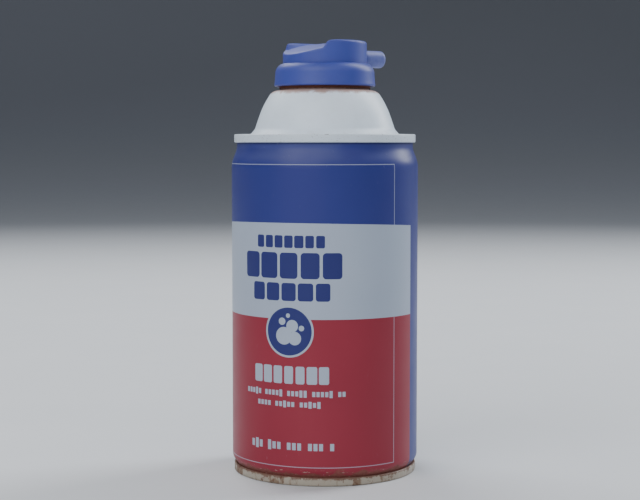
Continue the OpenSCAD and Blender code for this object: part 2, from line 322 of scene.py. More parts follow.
def make_studio():
    """Soft lights: a broad one in front, a weak one on the right, and two behind for the edges."""
    world = bpy.data.worlds.new("studio")
    world.use_nodes = True
    world.node_tree.nodes["Background"].inputs["Color"].default_value = (0.80, 0.85, 0.92, 1)
    world.node_tree.nodes["Background"].inputs["Strength"].default_value = 0.45
    bpy.context.scene.world = world
    middle = (0, 0, 0.08)
    area_light("key", (-0.20, -1.34, 0.95), middle, (1.5, 1.2), 18, (1.0, 0.99, 0.98))
    area_light("fill", (0.98, -0.72, 0.85), middle, (0.9, 0.9), 2.5, (0.97, 0.98, 1.0))
    area_light("right", (0.72, 0.98, 0.95), middle, (0.5, 1.3), 20, (0.94, 0.97, 1.0))
    area_light("left", (-0.78, 0.56, 1.18), middle, (0.9, 0.8), 13.5, (0.96, 0.98, 1.0))
    stage_bowl()


def stage_bowl():
    """A pale floor, its top at the foot of the can, that curves up into a wall all round."""
    floor_r, bend_r, wall_top, thick = 1.7, 0.8, 1.9, 0.02
    middle = -thick / 2
    bend = arc((floor_r, bend_r + middle), bend_r, -90, 0, 24)
    path = [(0, middle), *bend, (floor_r + bend_r, wall_top + middle)]
    points, faces = turned(sheet_outline(path, thick), 128)
    mesh = bpy.data.meshes.new("floor")
    mesh.from_pydata(points.tolist(), [], faces)
    mesh.polygons.foreach_set("use_smooth", [True] * len(mesh.polygons))
    mesh.materials.append(floor_material())
    floor = bpy.data.objects.new("floor", mesh)
    bpy.context.scene.collection.objects.link(floor)


# ---- Shader arithmetic -------------------------------------------------------------------------

class Value:
    """A number that varies over a surface, with arithmetic."""

    def __init__(self, tree, socket):
        self.tree, self.socket = tree, socket

    def math(self, operation, *others):
        """A Math node on this number and the others."""
        node = self.tree.nodes.new("ShaderNodeMath")
        node.operation = operation
        for slot, term in zip(node.inputs, (self, *others)):
            if isinstance(term, Value):
                self.tree.links.new(term.socket, slot)
            else:
                slot.default_value = term
        return Value(self.tree, node.outputs[0])

    def __add__(self, other):
        return self.math("ADD", other)

    def __sub__(self, other):
        return self.math("SUBTRACT", other)

    def __mul__(self, other):
        return self.math("MULTIPLY", other)

    def __truediv__(self, other):
        return self.math("DIVIDE", other)

    def __rsub__(self, other):
        return self.math("MULTIPLY_ADD", -1.0, other)

    def __lt__(self, other):
        return self.math("LESS_THAN", other)

    def __gt__(self, other):
        return self.math("GREATER_THAN", other)

    def __abs__(self):
        return self.math("ABSOLUTE")

    def floor(self):
        return self.math("FLOOR")

    def sine(self):
        return self.math("SINE")

    def fraction(self):
        return self.math("FRACT")

    def most(self, other):
        return self.math("MAXIMUM", other)

    def scatter(self, spread):
        """A number from 0 to 1 that looks random from one whole number to the next."""
        return (self.sine() * spread).fraction()

    def over(self, low, high):
        """0 below low, 1 above high, smooth between."""
        node = self.tree.nodes.new("ShaderNodeMapRange")
        node.interpolation_type = "SMOOTHSTEP"
        node.clamp = True
        self.tree.links.new(self.socket, node.inputs["Value"])
        node.inputs["From Min"].default_value = low
        node.inputs["From Max"].default_value = high
        return Value(self.tree, node.outputs["Result"])


def length(a, b):
    """Length of the vector (a, b)."""
    return (a * a + b * b).math("SQRT")


class Finish:
    """A material under construction, with its coordinates in mm."""

    def __init__(self, name):
        self.material = bpy.data.materials.new(name)
        self.material.use_nodes = True
        self.tree = self.material.node_tree
        self.shader = self.tree.nodes["Principled BSDF"]
        self.place = self.node("ShaderNodeTexCoord").outputs["Object"]
        parts = self.node("ShaderNodeSeparateXYZ")
        self.link(self.place, parts.inputs[0])
        self.x, self.y, self.z = (Value(self.tree, parts.outputs[i]) * (1 / MM) for i in range(3))

    def node(self, kind):
        return self.tree.nodes.new(kind)

    def link(self, output, target):
        self.tree.links.new(output.socket if isinstance(output, Value) else output, target)

    def noise(self, scale, detail=3.0, rough=0.55, stretch=(1, 1, 1), shift=(0, 0, 0)):
        """Noise from 0 to 1 with its detail at about scale mm."""
        mapping = self.node("ShaderNodeMapping")
        self.link(self.place, mapping.inputs["Vector"])
        mapping.inputs["Scale"].default_value = stretch
        mapping.inputs["Location"].default_value = shift
        texture = self.node("ShaderNodeTexNoise")
        self.link(mapping.outputs[0], texture.inputs["Vector"])
        texture.inputs["Scale"].default_value = 1 / (scale * MM)
        texture.inputs["Detail"].default_value = detail
        texture.inputs["Roughness"].default_value = rough
        return Value(self.tree, texture.outputs["Fac"])

    def blend(self, share, first, second):
        """Colour first where share is 0 and second where it is 1."""
        mix = self.node("ShaderNodeMix")
        mix.data_type = "RGBA"
        slots = [s for s in mix.inputs if s.type == "RGBA"]
        if isinstance(share, Value):
            self.link(share, mix.inputs[0])
        else:
            mix.inputs[0].default_value = share
        for slot, colour in zip(slots, (first, second)):
            if isinstance(colour, tuple):
                slot.default_value = (*colour, 1)
            else:
                self.link(colour, slot)
        return next(s for s in mix.outputs if s.type == "RGBA")

    def colour(self, output):
        self.link(output, self.shader.inputs["Base Color"])

    def roughness(self, value):
        self.link(value, self.shader.inputs["Roughness"])

    def bump(self, height, depth):
        """height from 0 to 1 raises the surface by depth mm."""
        bump = self.node("ShaderNodeBump")
        self.link(height, bump.inputs["Height"])
        bump.inputs["Distance"].default_value = depth * MM
        bump.inputs["Strength"].default_value = 1
        self.link(bump.outputs[0], self.shader.inputs["Normal"])

    def set(self, **values):
        """Numbers that are the same all over, on the shader's own sockets."""
        for name, value in values.items():
            self.shader.inputs[name.replace("_", " ")].default_value = value


def srgb(r, g, b):
    """A colour written 0 to 255, as the shader's linear numbers."""
    def linear(c):
        c /= 255
        return c / 12.92 if c <= 0.04045 else ((c + 0.055) / 1.055) ** 2.4
    return (linear(r), linear(g), linear(b))


# ---- Print on the can --------------------------------------------------------------------------

INK_BLUE = srgb(42, 48, 108)
RUST_DARK = srgb(66, 38, 26)

# The front: a white band over a red panel, in a thin frame, with a round badge where they meet.
# Half widths are angles from the label's middle.
PANEL_HALF = math.radians(86)
BAND_LOW, BAND_TOP, BAND_SAG = 57.0, 89.5, 0.72
FRAME_HALF = math.radians(67.8)
FRAME_LOW, FRAME_TOP = 6.6, 109.1
LINE_W = 0.30
BADGE_Z, BADGE_R, BADGE_RING = 52.8, 8.85, 0.70
# Bubbles on the badge: place aside, place up, radius
BUBBLES = [
    (-1.7, -1.5, 3.0), (2.2, -2.3, 2.3), (1.3, 1.9, 2.1),
    (-2.4, 3.4, 1.25), (4.6, 1.2, 0.95), (-0.2, 5.4, 0.75),
]
# Rows of blocks: height of the middle, width, block height, count, seed, gap, unevenness
BAND_ROWS = [
    (83.2, 26, 4.2, 7, 1.3, 0.09, 0.14),
    (75.1, 38, 8.8, 5, 4.1, 0.06, 0.10),
    (66.2, 30, 6.1, 5, 2.6, 0.07, 0.12),
]
PANEL_ROW = (38.0, 28.7, 6.0, 7, 5.2, 0.10, 0.14)
# Rows of small blocks: height of the middle, width, block height, count, letters to a word, seed
PANEL_WORDS = [
    (31.7, 39.7, 2.4, 27, 6, 0.4),
    (28.0, 25.7, 2.3, 17, 6, 2.3),
    (13.6, 32, 3.4, 17, 4, 1.2),
]

# The back: two columns of small print on the blue, a plain white box, and the bare strip at the weld
COLUMN, COLUMN_W = 17.5, 29
HEADING_Z, HEADING_H = 90, 3.6
PRINT_TOP, PRINT_ROW = 84, 2.1
BOX_Z, BOX_HALF_W, BOX_HALF_H = 42, 14.5, 12
WELD_HALF = 2.0
LAP_SIDE, LAP_HALF = 0.9, 0.09


def blocks(s, z, middle, width, height, count, seed, gap=0.16, uneven=0.22):
    """A row of plain rounded blocks, each of its own width, in place of a line of words."""
    pitch = width / count
    run = (s + width / 2) / pitch
    cell = run.floor()
    local = (run.fraction() - 0.5) * pitch
    chance = (cell * 12.9898 + seed).scatter(43758.5)
    corner = min(height, pitch) * 0.16
    half_w = (chance * -uneven + (1 - gap)) * (pitch / 2)
    dx = (abs(local) - half_w + corner).most(0)
    dz = (abs(z - middle) - (height / 2 - corner)).most(0)
    return (length(dx, dz) < corner) * (abs(s) < width / 2)


def words(s, z, middle, width, height, count, letters, seed):
    """Small blocks in groups, in place of a line of small words."""
    pitch = width / count
    cell = ((s + width / 2) / pitch).floor()
    chance = (cell * 78.233 + seed).scatter(24634.6)
    spaces = (((cell + seed) / letters).fraction() * letters) > 0.9
    tall = height * 0.72
    half_h = (chance > 0.72) * (height - tall) / 2 + tall / 2
    local = (((s + width / 2) / pitch).fraction() - 0.5) * pitch
    inside = (abs(local) < pitch * 0.36) * (abs(z - middle) < half_h)
    return inside * spaces * (abs(s) < width / 2)


def paragraph(s, z, middle, width, top, rows, row_h, seed):
    """Rows of small dashes of uneven length, in place of small print."""
    dash_w, blank_share, half_h, rag = 0.95, 0.19, 0.23, 0.16
    row = (z * -1 + top) / row_h
    line = row.floor()
    cell = ((s - middle + width / 2) / dash_w).floor()
    ink = (cell * 31.7 + line * 17.3 + seed).scatter(9127.3) > blank_share
    short = (line * 3.3 + seed).scatter(811.7) * (width * rag)
    in_row = near(row.fraction(), 0.5, half_h) * (line > -0.5) * (line < rows - 0.5)
    in_column = (s > middle - width / 2) * (s < (short * -1 + (middle + width / 2)))
    return ink * in_row * in_column


def near(value, target, reach):
    """1 within reach of the target."""
    return abs(value - target) < reach


def disc(s, z, centre_s, centre_z, r):
    """1 inside a circle."""
    return length(s - centre_s, z - centre_z) < r


def union(masks):
    """1 where any of the masks is."""
    total, *rest = masks
    for mask in rest:
        total = total.most(mask)
    return total


def front_masks(turn, z):
    """The front's shapes, by angle from its middle and height."""
    s = turn * BODY_R
    panel = abs(turn) < PANEL_HALF
    band = panel * (z < turn * turn * -BAND_SAG + BAND_TOP) * (z > BAND_LOW)
    red = panel * (z < BAND_LOW)
    badge = disc(s, z, 0, BADGE_Z, BADGE_R)
    foam = union(disc(s, z, aside, BADGE_Z + up, r) for aside, up, r in BUBBLES)

    half = LINE_W / 2
    upright = near(abs(s), FRAME_HALF * BODY_R, half) * (z < FRAME_TOP) * (z > FRAME_LOW)
    level = near(z, FRAME_TOP, half).most(near(z, FRAME_LOW, half))
    level = level * (abs(turn) < FRAME_HALF + half / BODY_R)
    return {
        "panel": panel,
        "band": band,
        "red": red,
        "badge": badge,
        "badge_blue": disc(s, z, 0, BADGE_Z, BADGE_R - BADGE_RING),
        "foam": foam,
        "lines": upright.most(level) * (1 - band) * (1 - badge),
        "titles": union(blocks(s, z, *row) for row in BAND_ROWS) * band,
        "subtitles": union([blocks(s, z, *PANEL_ROW), *(words(s, z, *row) for row in PANEL_WORDS)]),
    }


def back_masks(s, z):
    """The back's shapes, by distance from its middle and height."""
    box = near(s, COLUMN, BOX_HALF_W) * near(z, BOX_Z, BOX_HALF_H)
    box_print = paragraph(s, z, COLUMN, COLUMN_W - 4, BOX_Z + 9.5, 9, PRINT_ROW, 1.9)
    small = union([
        paragraph(s, z, -COLUMN, COLUMN_W, PRINT_TOP, 22, PRINT_ROW, 3.1),
        paragraph(s, z, COLUMN, COLUMN_W, PRINT_TOP, 12, PRINT_ROW, 8.4),
        blocks(s - COLUMN, z, HEADING_Z, 24, HEADING_H, 7, 2.2),
        blocks(s + COLUMN, z, HEADING_Z, 26, HEADING_H, 8, 7.7),
    ])
    return small, box, box_print


def print_masks(n):
    """Where each ink lies: the red, the white, the darker blue, the thin lines and the bare strip."""
    front = front_masks(n.x.math("ARCTAN2", n.y * -1), n.z)
    s = n.x.math("MULTIPLY", -1).math("ARCTAN2", n.y) * BODY_R
    small, box, box_print = back_masks(s, n.z)

    white = front["band"].most(front["subtitles"] * front["red"]).most(front["badge"])
    white = white.most(small * (1 - front["panel"])).most(box)
    white = white * (1 - front["badge_blue"]) * (1 - front["titles"]) * (1 - box_print * box)
    return {
        "red": front["red"],
        "white": white.most(front["foam"] * front["badge_blue"]),
        "dark_blue": front["badge"].most(front["titles"]),
        "lines": front["lines"],
        "margin": abs(s) < WELD_HALF,
        "lap": near(s, LAP_SIDE, LAP_HALF),
    }


def printed_body():
    """Varnished print on tinplate, with scuffs, and rust creeping up from the lower seam."""
    n = Finish("printed_body")
    inks = print_masks(n)
    broad = n.noise(22, 2)
    fine = n.noise(0.35, 2)
    blue = n.blend(broad, srgb(45, 52, 120), srgb(51, 58, 128))
    ink = n.blend(inks["red"], blue, n.blend(broad, srgb(137, 41, 57), srgb(147, 47, 63)))
    ink = n.blend(inks["dark_blue"], ink, INK_BLUE)
    ink = n.blend(inks["white"], ink, n.blend(broad, srgb(160, 172, 190), srgb(168, 179, 196)))
    ink = n.blend(inks["lines"] * 0.55, ink, srgb(178, 186, 206))
    ink = n.blend(inks["margin"], ink, n.blend(fine, srgb(138, 140, 142), srgb(158, 160, 160)))
    ink = n.blend(inks["lap"] * 0.7, ink, srgb(60, 60, 62))

    # Scuffs: pale marks where cans rub together, most at the shoulder and near the foot
    rub = n.noise(1.3, 5, 0.7, stretch=(1, 1, 0.35), shift=(0.3, 0, 0)).over(0.655, 0.70)
    shoulder = n.z.over(104, 112) * 0.7 + (1 - n.z.over(7, 16)) * 0.6 + 0.12
    scuff = rub * shoulder
    ink = n.blend(scuff * 0.35, ink, srgb(140, 146, 162))
    # painted sheen: the neck, where it turns up to the light, is lightened towards a pale grey-blue
    neck_painted_sheen = n.z.over(108.5, 112) * n.noise(18, 1, 0.5).over(0.36, 0.66)
    ink = n.blend(neck_painted_sheen * 0.10, ink, srgb(150, 158, 184))

    # Chips and rust above the lower seam, and painted shade in the groove under the upper one
    low = 1 - n.z.over(3.0, 6.4)
    chips = n.noise(1.8, 4, 0.6, stretch=(0.8, 0.8, 2.0)).over(0.635, 0.66) * low.over(0.05, 0.3)
    eaten = n.noise(3.4, 5, 0.68, stretch=(0.6, 0.6, 1), shift=(0, 0.4, 0)) * 9
    creep = 1 - (eaten + n.z).over(8.2, 9.7)
    ink = n.blend(chips * 0.65, ink, srgb(178, 168, 156))
    ink = n.blend(creep * 0.75, ink, n.blend(n.noise(0.9, 4), srgb(84, 48, 40), srgb(142, 104, 88)))
    seam_low = SEAM_TOP - SEAM_H
    # painted shade: near black in the groove under the upper seam and on the sheet hidden in it
    grime_and_painted_shade = n.z.over(seam_low - 1.2, seam_low + 0.2) * 0.6
    ink = n.blend(grime_and_painted_shade, ink, srgb(22, 24, 40))
    n.colour(ink)

    wear = n.noise(6, 4, 0.6)
    n.roughness(wear * 0.12 + 0.32 + scuff * 0.2 + creep * 0.3)
    raised = inks["white"] * 0.25 + n.noise(1.1, 2) * 0.4 + fine * 0.12
    n.bump(raised - chips * 0.9 + inks["lap"] * -1.6, 0.02)
    n.set(Specular_IOR_Level=0.28)
    return n.material


def white_enamel(n, light, dark):
    """Stoved enamel's own colour and its soft orange peel."""
    broad = n.noise(14, 3)
    peel = n.noise(0.9, 2, 0.5) * 0.35 + broad * 0.3
    n.set(Specular_IOR_Level=0.4, Coat_Weight=0.1, Coat_Roughness=0.3)
    return n.blend(broad, dark, light), peel


def dome_enamel():
    """Clean but for rust bleeding from the valve cup, dirt in the countersink by the seam, and one bare
    nick.
    """
    n = Finish("dome_enamel")
    colour, peel = white_enamel(n, srgb(230, 243, 254), srgb(221, 234, 247))
    radius = length(n.x, n.y)
    bleed = (n.z + n.noise(3.4, 5, 0.65) * 3.0).over(CURL_Z - 2.5, CURL_Z - 1.3)
    rust = n.blend(n.noise(2.2, 4), srgb(124, 58, 34), srgb(180, 122, 74))
    colour = n.blend(bleed * 0.75, colour, rust)
    crust = (n.z + n.noise(1.1, 5, 0.7) * 2.4).over(CURL_Z - 0.9, CURL_Z - 0.3)
    colour = n.blend(crust * 0.8, colour, RUST_DARK)
    inner = 1 - radius.over(TOP_SEAM_R - 1.8, TOP_SEAM_R - 0.9)
    sink = (1 - n.z.over(SEAM_TOP - 2, SEAM_TOP + 1.5)) * inner
    # dirt in patches, most of it in the countersink
    grime_and_painted_shade = n.noise(3.2, 5, 0.65).over(0.42, 0.72) * (sink + 0.08)
    colour = n.blend(grime_and_painted_shade * 0.5, colour, srgb(132, 126, 116))
    rim = radius.over(TOP_SEAM_R - 1.6, TOP_SEAM_R - 1.2)
    colour = n.blend(rim * 0.35, colour, srgb(172, 182, 192))
    nick = length(n.x - TOP_SEAM_R * 0.39, n.y + TOP_SEAM_R * 0.92) < 0.75
    nick = nick * n.z.over(SEAM_TOP - 0.5, SEAM_TOP - 0.1)
    worn = (n.noise(0.7, 4, 0.6, stretch=(1, 1, 2)) + rim * 0.06).over(0.70, 0.72) * rim
    colour = n.blend(nick.most(worn * 0.6), colour, srgb(70, 66, 66))
    scratch = n.noise(0.8, 3, 0.6, stretch=(1, 1, 0.2)).over(0.69, 0.72)
    colour = n.blend(scratch * 0.18, colour, srgb(130, 132, 134))
    n.colour(colour)
    n.roughness(n.noise(5, 3) * 0.10 + 0.36 + bleed * 0.3 + grime_and_painted_shade * 0.2)
    n.bump(peel + bleed * n.noise(0.5, 4, 0.7) - worn * 0.4, 0.04)
    return n.material


def foot_enamel():
    """Yellowed, with brown stains run down it and rust eating in from its upper edge."""
    n = Finish("foot_enamel")
    colour, peel = white_enamel(n, srgb(170, 167, 150), srgb(160, 145, 134))
    radius = length(n.x, n.y)
    seam = radius.over(FOOT_SEAM_R - 4, FOOT_SEAM_R - 2)
    stain = n.noise(4.2, 4, 0.62, stretch=(1, 1, 0.5), shift=(0.011, 0, 0.01)).over(0.51, 0.62)
    brown = n.blend(n.noise(1.2, 4), srgb(104, 76, 62), srgb(138, 118, 94))
    colour = n.blend(stain * (seam * 0.7 + 0.2), colour, brown)
    edge = (n.z + n.noise(2.6, 5, 0.7) * 4.6).over(4.3, 4.9) * seam
    colour = n.blend(edge * 0.9, colour, n.blend(n.noise(0.7, 4), srgb(84, 52, 46), srgb(132, 100, 82)))
    rust = (n.noise(1.3, 6, 0.7, stretch=(1, 1, 0.6)) + stain * 0.06).over(0.60, 0.64) * seam
    colour = n.blend(rust * 0.8, colour, n.blend(n.noise(0.5, 4), RUST_DARK, srgb(124, 80, 60)))
    # darker towards the bottom edge, evenly all round, over the lowest 0.9 mm
    bottom_darkening = (1 - n.z.over(0.0, 0.9)) * 0.45
    colour = n.blend(bottom_darkening, colour, srgb(92, 82, 72))
    n.colour(colour)
    n.roughness(stain * 0.2 + 0.42 + rust * 0.3)
    n.bump(peel - edge * 0.5 + rust * n.noise(0.4, 4, 0.7) + stain * n.noise(1.0, 3) * 0.6, 0.06)
    return n.material


def moulded_blue():
    """Matt polypropylene with a fine moulded skin, handling wear, and a pale film along the spout, part
    dried foam and part painted highlight.
    """
    n = Finish("moulded_blue")
    broad = n.noise(9, 3)
    skin = n.noise(0.22, 2, 0.5)
    flow = n.noise(4, 3, 0.6, stretch=(1, 1, 0.4))
    colour = n.blend(broad, srgb(60, 72, 152), srgb(68, 81, 165))
    marks = n.noise(0.9, 4, 0.65, stretch=(0.5, 1, 1)).over(0.66, 0.72)
    colour = n.blend(marks * 0.25, colour, srgb(112, 126, 178))
    # pale film over the spout: part dried foam, part painted highlight that lightens the whole spout
    along = n.x * math.cos(SPOUT_TURN) + n.y * math.sin(SPOUT_TURN)
    foam_and_painted_highlight = along.over(DRUM_R, DRUM_R + 3) * (n.noise(1.6, 4, 0.6) * 0.4 + 0.08)
    foam_and_painted_highlight = foam_and_painted_highlight * (n.z > DRUM_LOW)
    colour = n.blend(foam_and_painted_highlight, colour, srgb(158, 166, 206))
    n.colour(colour)
    n.roughness(flow * 0.10 + 0.40 + marks * 0.1)
    n.bump(skin * 0.25 + flow * 0.5, 0.02)
    n.set(Specular_IOR_Level=0.42, Subsurface_Weight=0.04, Subsurface_Scale=0.002)
    return n.material


def rusty_tinplate():
    """Bright tinplate inside the cup, brown rust on its outer curl."""
    n = Finish("rusty_tinplate")
    radius = length(n.x, n.y)
    edge = radius.over(CUP_R - 1.6, CUP_R - 0.5)
    grain = n.noise(0.6, 5, 0.7)
    rust = (grain + edge * 0.5).over(0.58, 0.72)
    tin = n.blend(n.noise(5, 3), srgb(150, 150, 148), srgb(182, 182, 178))
    colour = n.blend(rust, tin, n.blend(n.noise(1.7, 5, 0.7), srgb(58, 32, 28), srgb(128, 70, 48)))
    n.colour(colour)
    n.link((1 - rust) * 0.9, n.shader.inputs["Metallic"])
    n.roughness(rust * 0.5 + 0.32)
    n.bump(rust * grain * 1.5 + n.noise(0.3, 2) * 0.2, 0.08)
    return n.material


def black_rubber(name, grey):
    """Dull rubber or lining compound, its grey from 0 to 255."""
    n = Finish(name)
    n.colour(n.blend(n.noise(1.5, 4), srgb(grey, grey, grey + 2), srgb(grey + 22, grey + 21, grey + 20)))
    n.roughness(n.noise(0.8, 3) * 0.2 + 0.55)
    n.bump(n.noise(0.25, 3), 0.02)
    return n.material


def natural_plastic(name, light, dark, clear):
    """Unpigmented moulding or tube, a little clear, with foam residue."""
    n = Finish(name)
    residue = n.noise(2.4, 4, 0.6).over(0.5, 0.75)
    n.colour(n.blend(residue, n.blend(n.noise(7), dark, light), srgb(236, 236, 232)))
    n.roughness(residue * 0.25 + 0.28)
    n.bump(n.noise(0.5, 2) * 0.3 + residue * 0.7, 0.02)
    n.set(Subsurface_Weight=clear, Subsurface_Scale=0.003)
    return n.material


def spring_wire():
    """Bright wire with fine drawing marks."""
    n = Finish("spring_wire")
    drawn = n.noise(0.3, 3, 0.6, stretch=(1, 1, 0.3))
    n.colour(n.blend(drawn, srgb(168, 170, 174), srgb(205, 206, 208)))
    n.roughness(drawn * 0.18 + 0.16)
    n.bump(drawn, 0.006)
    n.set(Metallic=1)
    return n.material


def floor_material():
    """Pale near the can, greyer towards the wall."""
    n = Finish("floor")
    pale = n.blend(n.noise(60, 3), srgb(205, 208, 212), srgb(211, 213, 216))
    n.colour(n.blend(length(n.x, n.y).over(700, 2300), pale, srgb(104, 108, 116)))
    n.roughness(n.noise(9, 3) * 0.08 + 0.55)
    n.bump(n.noise(2.5, 3), 0.02)
    return n.material


# ---- Sheet metal -------------------------------------------------------------------------------

def seam_radii(seam_r):
    """Middle of each sheet in a double seam, from the outside in."""
    gap = 0.03
    wall = seam_r - END_T / 2
    body_hook = seam_r - END_T - gap - SHEET_T / 2
    cover_hook = body_hook - SHEET_T / 2 - gap - END_T / 2
    body_wall = cover_hook - END_T / 2 - gap - SHEET_T / 2
    chuck = body_wall - SHEET_T / 2 - gap - END_T / 2
    return wall, body_hook, cover_hook, body_wall, chuck


def body_seam(seam_r):
    """The can's sheet through a seam, by depth from the seam's free edge."""
    _, hook, _, wall, _ = seam_radii(seam_r)
    half = (hook - wall) / 2
    top = BEND_DEPTH + SHEET_T / 2
    turn = [(r, 2 * top - z + half) for r, z in arc(((hook + wall) / 2, top), half, 0, 180, 8)]
    return [(hook, SEAM_H - BEND - END_T / 2 - 0.12), *turn, (wall, SEAM_H)]


def end_seam(seam_r):
    """An end's sheet through a seam, by depth from the seam's free edge."""
    wall, _, hook, _, chuck = seam_radii(seam_r)
    low = SEAM_H - END_T / 2 - BEND
    return [
        (hook, low - 1.5),
        *arc(((hook + wall) / 2, low), (wall - hook) / 2, 180, 0, 8),
        *arc((wall - BEND, END_T / 2 + BEND), BEND, 0, -90, 6),
        *arc((chuck + BEND, END_T / 2 + BEND), BEND, -90, -180, 6),
    ]


def hanging(path):
    """A path by depth below the upper seam's free edge, as heights."""
    return [(r, SEAM_TOP - depth) for r, depth in path]


def neck(r0, r1, z0, h, skew, steps=20):
    """A smooth change of radius over a height h from z0. skew below 1 moves it down, above 1 up."""
    shares = [i / steps for i in range(steps + 1)]
    return [(r0 + (r1 - r0) * ease(t ** skew), z0 + h * t) for t in shares]


def can_shell():
    """The printed body, from the hook in its lower seam to the hook in its upper one."""
    foot_wall = seam_radii(FOOT_SEAM_R)[3]
    top_wall = seam_radii(TOP_SEAM_R)[3]
    neck_h, foot_neck_h = 8, 3.3
    sheet_r = BODY_R - SHEET_T / 2
    path = [
        *body_seam(FOOT_SEAM_R),
        *neck(foot_wall, sheet_r, SEAM_H + 0.1, foot_neck_h, 0.6),
        *neck(sheet_r, top_wall, SEAM_TOP - SEAM_H - 1.4 - neck_h, neck_h, 1.3),
        *hanging(body_seam(TOP_SEAM_R))[::-1],
    ]
    points, faces = turned(sheet_outline(path, SHEET_T), 320)
    shell = new_piece("can_shell", points, faces, printed_body(), "can")
    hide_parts("can_body")


def dome_shell():
    """The top end: seam, countersink, hollow flank, crowned cone, and the curl round the opening."""
    chuck = seam_radii(TOP_SEAM_R)[4]
    curl = 1.25
    flank, cone, crown = 48, 71, 56
    hollow, hollow_r = (27.78, SEAM_TOP + 3.5), 3.56
    shoulder_r, crown_r, sink_r, neck_bend = 3.3, 32, 0.75, 0.6
    shoulder = (CURL_R + curl + 1.25, SEAM_TOP + 15.4 - END_T / 2 - shoulder_r)
    tilt = math.radians(90 - crown)
    reach = shoulder_r - crown_r
    crown_c = (shoulder[0] + reach * math.cos(tilt), shoulder[1] + reach * math.sin(tilt))
    outer = softened([
        *arc((chuck - sink_r, SEAM_TOP - 3.3), sink_r, 0, flank - 186, 6),
        *arc(hollow, hollow_r, -90 - flank, -90 - cone, 5),
        *arc(crown_c, crown_r, 90 - cone, 90 - crown, 7),
        *arc(shoulder, shoulder_r, 98 - crown, 84, 6),
        *arc((CURL_R + curl + neck_bend, shoulder[1] + shoulder_r + neck_bend), neck_bend, -90, -180, 4),
    ])
    path = [*hanging(end_seam(TOP_SEAM_R)), *outer, *arc((CURL_R, CURL_Z), curl, 0, 290, 24)]

    def nicks(r, z, turn):
        """Slight unevenness of the seam's outer edge, and one small dent near the front."""
        outer = r > TOP_SEAM_R - 0.9
        uneven = np.abs(ripple(turn, z, (2, 12), 3))
        dent = np.exp(-((turn - math.radians(293)) / 0.03) ** 2 - ((z - SEAM_TOP) / 0.5) ** 2)
        return outer * (-0.03 * uneven - 0.12 * dent), outer * (-0.2 * dent)

    points, faces = turned(sheet_outline(path, END_T), 256, nicks)
    shell = new_piece("dome_shell", points, faces, dome_enamel(), "can")
    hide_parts("dome_top")


def foot_shell():
    """The bottom end: seam, wall, and a shallow dome that rises inside the can."""
    chuck = seam_radii(FOOT_SEAM_R)[4]
    wall_bend, slope = 1.2, 22
    centre = (chuck - wall_bend, 3.5)
    tilt = math.radians(90 - slope)
    edge = (centre[0] + wall_bend * math.cos(tilt), centre[1] + wall_bend * math.sin(tilt))
    dome_r = edge[0] / math.sin(math.radians(slope))
    dome_z = edge[1] - dome_r * math.cos(math.radians(slope))
    steps = 20
    dome = [
        (dome_r * math.sin(a), dome_z + dome_r * math.cos(a))
        for a in (math.radians(slope) * (1 - i / steps) for i in range(1, steps + 1))
    ]
    path = [*end_seam(FOOT_SEAM_R), *arc(centre, wall_bend, 0, 90 - slope, 8), *dome]

    def pitted(r, z, turn):
        """Swollen and pitted by rust on the outside of the seam."""
        outer = (r > FOOT_SEAM_R - 0.45) & (z > 0.25)
        pits = ripple(turn, z, (20, 170), 8, 2.2)
        return outer * (-0.05 - 0.07 * np.clip(pits, -0.6, 1.2)), 0 * z

    points, faces = turned(sheet_outline(path, END_T), 512, pitted)
    shell = new_piece("foot_shell", points, faces, foot_enamel(), "can")
    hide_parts("base_end")


# ---- Actuator ----------------------------------------------------------------------------------

# The drum slides in the collar's guide. u runs along the spout and v across it. The dish falls from
# u = DISH_END towards -u. It is level across as far as DISH_FLAT, and meets the rim at DISH_HALF.
CELL = 0.3
DRUM_R = 14.8
GUIDE_R = DRUM_R + 0.1
WEB_Z = CURL_Z + CUP_CURL_R + 0.2
SPOUT_Z = RIM_Z - 5.6
DRUM_LOW = RIM_Z - 10.1
BOSS_R = 3.6
STEM_HOLE_R = 2.02
PASSAGE_R = 1.3
BORE_R = 1.5
SPOUT_R = 3.05
SPOUT_REACH = 25.2
SHELL_T = 1.4
DISH_END = 7.0
DISH_FLAT = 11.3
DISH_HALF = 12.9
LIP_DROP = 4.8


def rounded_rod(along, across, start, end, r, corner):
    """Distance to a rod with rounded ends, by distance along its axis and from it."""
    dx = across - (r - corner)
    dz = np.maximum(start + corner - along, along - end + corner)
    outside = np.hypot(np.maximum(dx, 0), np.maximum(dz, 0))
    return outside + np.minimum(np.maximum(dx, dz), 0) - corner


def dish_height(u, v):
    """The dish falls in one curve towards its lip, and its sides rise steeply to the rim."""
    fall = (np.maximum(DISH_END - u, 0) / (DISH_END + DRUM_R)) ** 1.7
    side = np.clip((np.abs(v) - DISH_FLAT) / (DISH_HALF - DISH_FLAT), 0, 1)
    return RIM_Z - LIP_DROP * fall * (1 - side * side * (3 - 2 * side))


def above_dish(u, v, z):
    """Distance above the dish's surface, positive above it."""
    step = 0.05
    along = (dish_height(u + step, v) - dish_height(u - step, v)) / (2 * step)
    across = (dish_height(u, v + step) - dish_height(u, v - step)) / (2 * step)
    return (z - dish_height(u, v)) / np.sqrt(1 + along * along + across * across)


def along_spout(x, y):
    """Distances along the spout's direction and across it."""
    u = x * math.cos(SPOUT_TURN) + y * math.sin(SPOUT_TURN)
    v = y * math.cos(SPOUT_TURN) - x * math.sin(SPOUT_TURN)
    return u, v


